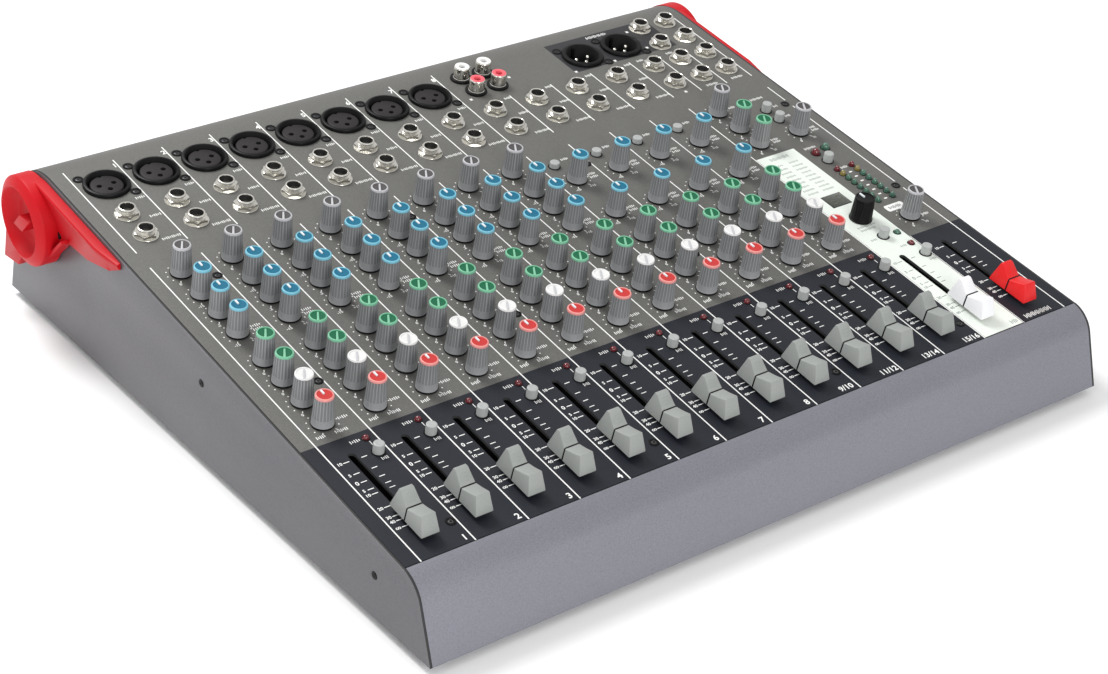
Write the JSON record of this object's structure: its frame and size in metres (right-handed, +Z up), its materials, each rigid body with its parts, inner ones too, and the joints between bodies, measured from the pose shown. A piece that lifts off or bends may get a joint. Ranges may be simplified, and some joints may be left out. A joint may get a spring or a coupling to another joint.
{
  "type": "mixing console",
  "caption": "Desk-top mixing console: sloping panel of knobs and linear faders, sockets along the rear, dished red corner guards at the rear corners.",
  "frame": {"origin": "on the plane of the feet, under the middle of the case", "axes": "+X to the operator's right, +Y from the operator to the rear, +Z up"},
  "size_m": [0.4208, 0.3872, 0.0957],
  "materials": {
    "panel_paint": "fine textured warm grey paint",
    "case_paint": "fine textured dark metallic grey paint",
    "guard_plastic": "moulded red plastic, satin",
    "rubber": "black rubber",
    "circuit_board": "green circuit board",
    "socket_metal": "nickel-plated sockets",
    "knob_grey": "satin grey, dark top",
    "knob_blue": "satin grey, blue top",
    "knob_green": "satin grey, green top",
    "knob_white": "satin grey, white top",
    "knob_red": "satin grey, red top",
    "knob_black": "satin black",
    "cap_grey": "light grey, satin",
    "cap_white": "white, satin",
    "cap_red": "red, satin",
    "button_grey": "translucent light grey",
    "black_plastic": "black, satin",
    "supply_metal": "bare"
  },
  "bodies": {
    "case": {"base_tray": "case_paint", "top_panel": "panel_paint", "left_side_panel": "case_paint", "right_side_panel": "case_paint", "left_corner_guard": "guard_plastic", "right_corner_guard": "guard_plastic", "foot_front_left": "rubber", "foot_front_right": "rubber", "foot_rear_left": "rubber", "foot_rear_right": "rubber", "connector_board": "socket_metal", "mono_control_board": "circuit_board", "stereo_control_board": "circuit_board", "master_board": "circuit_board", "fader_board": "circuit_board", "power_supply": "supply_metal", "mains_inlet": "black_plastic"},
    "fader_1": {"fader_1": "cap_grey"},
    "main_fader": {"main_fader": "cap_red"},
    "effect_fader": {"effect_fader": "cap_white"},
    "strip_1_gain_knob": {"strip_1_gain_knob": "knob_grey"},
    "strip_1_pan_knob": {"strip_1_pan_knob": "knob_red"},
    "effect_selector_knob": {"effect_selector_knob": "knob_black"},
    "strip_1_listen_button": {"strip_1_listen_button": "button_grey"},
    "effect_mute_button": {"effect_mute_button": "button_grey"},
    "power_rocker": {"power_rocker": "black_plastic"},
    "fader_2": {"fader_2": "cap_grey"},
    "fader_3": {"fader_3": "cap_grey"},
    "fader_4": {"fader_4": "cap_grey"},
    "fader_5": {"fader_5": "cap_grey"},
    "fader_6": {"fader_6": "cap_grey"},
    "fader_7": {"fader_7": "cap_grey"},
    "fader_8": {"fader_8": "cap_grey"},
    "fader_9": {"fader_9": "cap_grey"},
    "fader_10": {"fader_10": "cap_grey"},
    "fader_11": {"fader_11": "cap_grey"},
    "fader_12": {"fader_12": "cap_grey"},
    "strip_1_high_knob": {"strip_1_high_knob": "knob_blue"},
    "strip_1_mid_frequency_knob": {"strip_1_mid_frequency_knob": "knob_blue"},
    "strip_1_mid_knob": {"strip_1_mid_knob": "knob_blue"},
    "strip_1_aux_1_knob": {"strip_1_aux_1_knob": "knob_green"},
    "strip_1_aux_2_knob": {"strip_1_aux_2_knob": "knob_green"},
    "strip_1_effect_send_knob": {"strip_1_effect_send_knob": "knob_white"},
    "phones_knob": {"phones_knob": "knob_grey"},
    "effect_to_aux_1_knob": {"effect_to_aux_1_knob": "knob_green"},
    "effect_to_aux_2_knob": {"effect_to_aux_2_knob": "knob_green"},
    "tape_level_knob": {"tape_level_knob": "knob_grey"},
    "monitor_level_knob": {"monitor_level_knob": "knob_grey"},
    "effect_tap_button": {"effect_tap_button": "button_grey"},
    "tape_to_main_button": {"tape_to_main_button": "button_grey"},
    "tape_to_monitor_button": {"tape_to_monitor_button": "button_grey"},
    "phantom_power_button": {"phantom_power_button": "button_grey"},
    "strip_9_listen_button": {"strip_9_listen_button": "button_grey"},
    "strip_9_level_switch": {"strip_9_level_switch": "button_grey"},
    "strip_9_high_knob": {"strip_9_high_knob": "knob_blue"},
    "strip_9_low_knob": {"strip_9_low_knob": "knob_blue"},
    "strip_9_aux_1_knob": {"strip_9_aux_1_knob": "knob_green"},
    "strip_9_aux_2_knob": {"strip_9_aux_2_knob": "knob_green"},
    "strip_9_effect_send_knob": {"strip_9_effect_send_knob": "knob_white"},
    "strip_9_balance_knob": {"strip_9_balance_knob": "knob_red"}
  },
  "joints": [
    {"name": "fader_1_slide", "type": "slide", "parent": "case", "child": "fader_1", "axis": [0, 0.9893, 0.1461], "range_m": [0, 0.045]},
    {"name": "main_fader_slide", "type": "slide", "parent": "case", "child": "main_fader", "axis": [0, 0.9893, 0.1461], "range_m": [0, 0.045]},
    {"name": "effect_fader_slide", "type": "slide", "parent": "case", "child": "effect_fader", "axis": [0, 0.9893, 0.1461], "range_m": [0, 0.045]},
    {"name": "strip_1_gain_knob_turn", "type": "hinge", "parent": "case", "child": "strip_1_gain_knob", "pos_m": [-0.17815, 0.04195, 0.07432], "axis": [0, 0.1461, -0.9893], "range_deg": [0, 300]},
    {"name": "strip_1_pan_knob_turn", "type": "hinge", "parent": "case", "child": "strip_1_pan_knob", "pos_m": [-0.17815, -0.08118, 0.05614], "axis": [0, 0.1461, -0.9893], "range_deg": [-150, 150]},
    {"name": "effect_selector_knob_turn", "type": "hinge", "parent": "case", "child": "effect_selector_knob", "pos_m": [0.14931, -0.0697, 0.05783], "axis": [0, 0.1461, -0.9893], "range_deg": [-150, 150]},
    {"name": "strip_1_listen_button_press", "type": "slide", "parent": "case", "child": "strip_1_listen_button", "axis": [0, 0.1461, -0.9893], "range_m": [0, 0.0025], "stiffness_N_per_m": 150},
    {"name": "effect_mute_button_press", "type": "slide", "parent": "case", "child": "effect_mute_button", "axis": [0, 0.1461, -0.9893], "range_m": [0, 0.0025], "stiffness_N_per_m": 150},
    {"name": "power_rocker_tip", "type": "hinge", "parent": "case", "child": "power_rocker", "pos_m": [-0.1295, 0.18149, 0.03197], "axis": [1, 0, 0], "range_deg": [0, 12]},
    {"name": "fader_2_slide", "type": "slide", "parent": "case", "child": "fader_2", "axis": [0, 0.9893, 0.1461], "range_m": [0, 0.045]},
    {"name": "fader_3_slide", "type": "slide", "parent": "case", "child": "fader_3", "axis": [0, 0.9893, 0.1461], "range_m": [0, 0.045]},
    {"name": "fader_4_slide", "type": "slide", "parent": "case", "child": "fader_4", "axis": [0, 0.9893, 0.1461], "range_m": [0, 0.045]},
    {"name": "fader_5_slide", "type": "slide", "parent": "case", "child": "fader_5", "axis": [0, 0.9893, 0.1461], "range_m": [0, 0.045]},
    {"name": "fader_6_slide", "type": "slide", "parent": "case", "child": "fader_6", "axis": [0, 0.9893, 0.1461], "range_m": [0, 0.045]},
    {"name": "fader_7_slide", "type": "slide", "parent": "case", "child": "fader_7", "axis": [0, 0.9893, 0.1461], "range_m": [0, 0.045]},
    {"name": "fader_8_slide", "type": "slide", "parent": "case", "child": "fader_8", "axis": [0, 0.9893, 0.1461], "range_m": [0, 0.045]},
    {"name": "fader_9_slide", "type": "slide", "parent": "case", "child": "fader_9", "axis": [0, 0.9893, 0.1461], "range_m": [0, 0.045]},
    {"name": "fader_10_slide", "type": "slide", "parent": "case", "child": "fader_10", "axis": [0, 0.9893, 0.1461], "range_m": [0, 0.045]},
    {"name": "fader_11_slide", "type": "slide", "parent": "case", "child": "fader_11", "axis": [0, 0.9893, 0.1461], "range_m": [0, 0.045]},
    {"name": "fader_12_slide", "type": "slide", "parent": "case", "child": "fader_12", "axis": [0, 0.9893, 0.1461], "range_m": [0, 0.045]},
    {"name": "strip_1_high_knob_turn", "type": "hinge", "parent": "case", "child": "strip_1_high_knob", "pos_m": [-0.17815, 0.02299, 0.07152], "axis": [0, 0.1461, -0.9893], "range_deg": [-150, 150]},
    {"name": "strip_1_mid_frequency_knob_turn", "type": "hinge", "parent": "case", "child": "strip_1_mid_frequency_knob", "pos_m": [-0.17815, 0.00696, 0.06915], "axis": [0, 0.1461, -0.9893], "range_deg": [-150, 150]},
    {"name": "strip_1_mid_knob_turn", "type": "hinge", "parent": "case", "child": "strip_1_mid_knob", "pos_m": [-0.17815, -0.00933, 0.06675], "axis": [0, 0.1461, -0.9893], "range_deg": [-150, 150]},
    {"name": "strip_1_aux_1_knob_turn", "type": "hinge", "parent": "case", "child": "strip_1_aux_1_knob", "pos_m": [-0.17815, -0.0323, 0.06335], "axis": [0, 0.1461, -0.9893], "range_deg": [0, 300]},
    {"name": "strip_1_aux_2_knob_turn", "type": "hinge", "parent": "case", "child": "strip_1_aux_2_knob", "pos_m": [-0.17815, -0.04833, 0.06099], "axis": [0, 0.1461, -0.9893], "range_deg": [0, 300]},
    {"name": "strip_1_effect_send_knob_turn", "type": "hinge", "parent": "case", "child": "strip_1_effect_send_knob", "pos_m": [-0.17815, -0.06462, 0.05858], "axis": [0, 0.1461, -0.9893], "range_deg": [0, 300]},
    {"name": "phones_knob_turn", "type": "hinge", "parent": "case", "child": "phones_knob", "pos_m": [0.14661, 0.04142, 0.07424], "axis": [0, 0.1461, -0.9893], "range_deg": [0, 300]},
    {"name": "effect_to_aux_1_knob_turn", "type": "hinge", "parent": "case", "child": "effect_to_aux_1_knob", "pos_m": [0.14715, 0.02379, 0.07164], "axis": [0, 0.1461, -0.9893], "range_deg": [0, 300]},
    {"name": "effect_to_aux_2_knob_turn", "type": "hinge", "parent": "case", "child": "effect_to_aux_2_knob", "pos_m": [0.14715, 0.0075, 0.06923], "axis": [0, 0.1461, -0.9893], "range_deg": [0, 300]},
    {"name": "tape_level_knob_turn", "type": "hinge", "parent": "case", "child": "tape_level_knob", "pos_m": [0.17523, 0.00776, 0.06927], "axis": [0, 0.1461, -0.9893], "range_deg": [0, 300]},
    {"name": "monitor_level_knob_turn", "type": "hinge", "parent": "case", "child": "monitor_level_knob", "pos_m": [0.17496, -0.07931, 0.05641], "axis": [0, 0.1461, -0.9893], "range_deg": [0, 300]},
    {"name": "effect_tap_button_press", "type": "slide", "parent": "case", "child": "effect_tap_button", "axis": [0, 0.1461, -0.9893], "range_m": [0, 0.0025], "stiffness_N_per_m": 150},
    {"name": "tape_to_main_button_press", "type": "slide", "parent": "case", "child": "tape_to_main_button", "axis": [0, 0.1461, -0.9893], "range_m": [0, 0.0025], "stiffness_N_per_m": 150},
    {"name": "tape_to_monitor_button_press", "type": "slide", "parent": "case", "child": "tape_to_monitor_button", "axis": [0, 0.1461, -0.9893], "range_m": [0, 0.0025], "stiffness_N_per_m": 150},
    {"name": "phantom_power_button_press", "type": "slide", "parent": "case", "child": "phantom_power_button", "axis": [0, 0.1461, -0.9893], "range_m": [0, 0.0025], "stiffness_N_per_m": 150},
    {"name": "strip_9_listen_button_press", "type": "slide", "parent": "case", "child": "strip_9_listen_button", "axis": [0, 0.1461, -0.9893], "range_m": [0, 0.0025], "stiffness_N_per_m": 150},
    {"name": "strip_9_level_switch_press", "type": "slide", "parent": "case", "child": "strip_9_level_switch", "axis": [0, 0.1461, -0.9893], "range_m": [0, 0.0025], "stiffness_N_per_m": 150},
    {"name": "strip_9_high_knob_turn", "type": "hinge", "parent": "case", "child": "strip_9_high_knob", "pos_m": [0.03785, 0.02299, 0.07152], "axis": [0, 0.1461, -0.9893], "range_deg": [-150, 150]},
    {"name": "strip_9_low_knob_turn", "type": "hinge", "parent": "case", "child": "strip_9_low_knob", "pos_m": [0.03785, -0.00933, 0.06675], "axis": [0, 0.1461, -0.9893], "range_deg": [-150, 150]},
    {"name": "strip_9_aux_1_knob_turn", "type": "hinge", "parent": "case", "child": "strip_9_aux_1_knob", "pos_m": [0.03785, -0.0323, 0.06335], "axis": [0, 0.1461, -0.9893], "range_deg": [0, 300]},
    {"name": "strip_9_aux_2_knob_turn", "type": "hinge", "parent": "case", "child": "strip_9_aux_2_knob", "pos_m": [0.03785, -0.04833, 0.06099], "axis": [0, 0.1461, -0.9893], "range_deg": [0, 300]},
    {"name": "strip_9_effect_send_knob_turn", "type": "hinge", "parent": "case", "child": "strip_9_effect_send_knob", "pos_m": [0.03785, -0.06462, 0.05858], "axis": [0, 0.1461, -0.9893], "range_deg": [0, 300]},
    {"name": "strip_9_balance_knob_turn", "type": "hinge", "parent": "case", "child": "strip_9_balance_knob", "pos_m": [0.03785, -0.08118, 0.05614], "axis": [0, 0.1461, -0.9893], "range_deg": [-150, 150]}
  ]
}
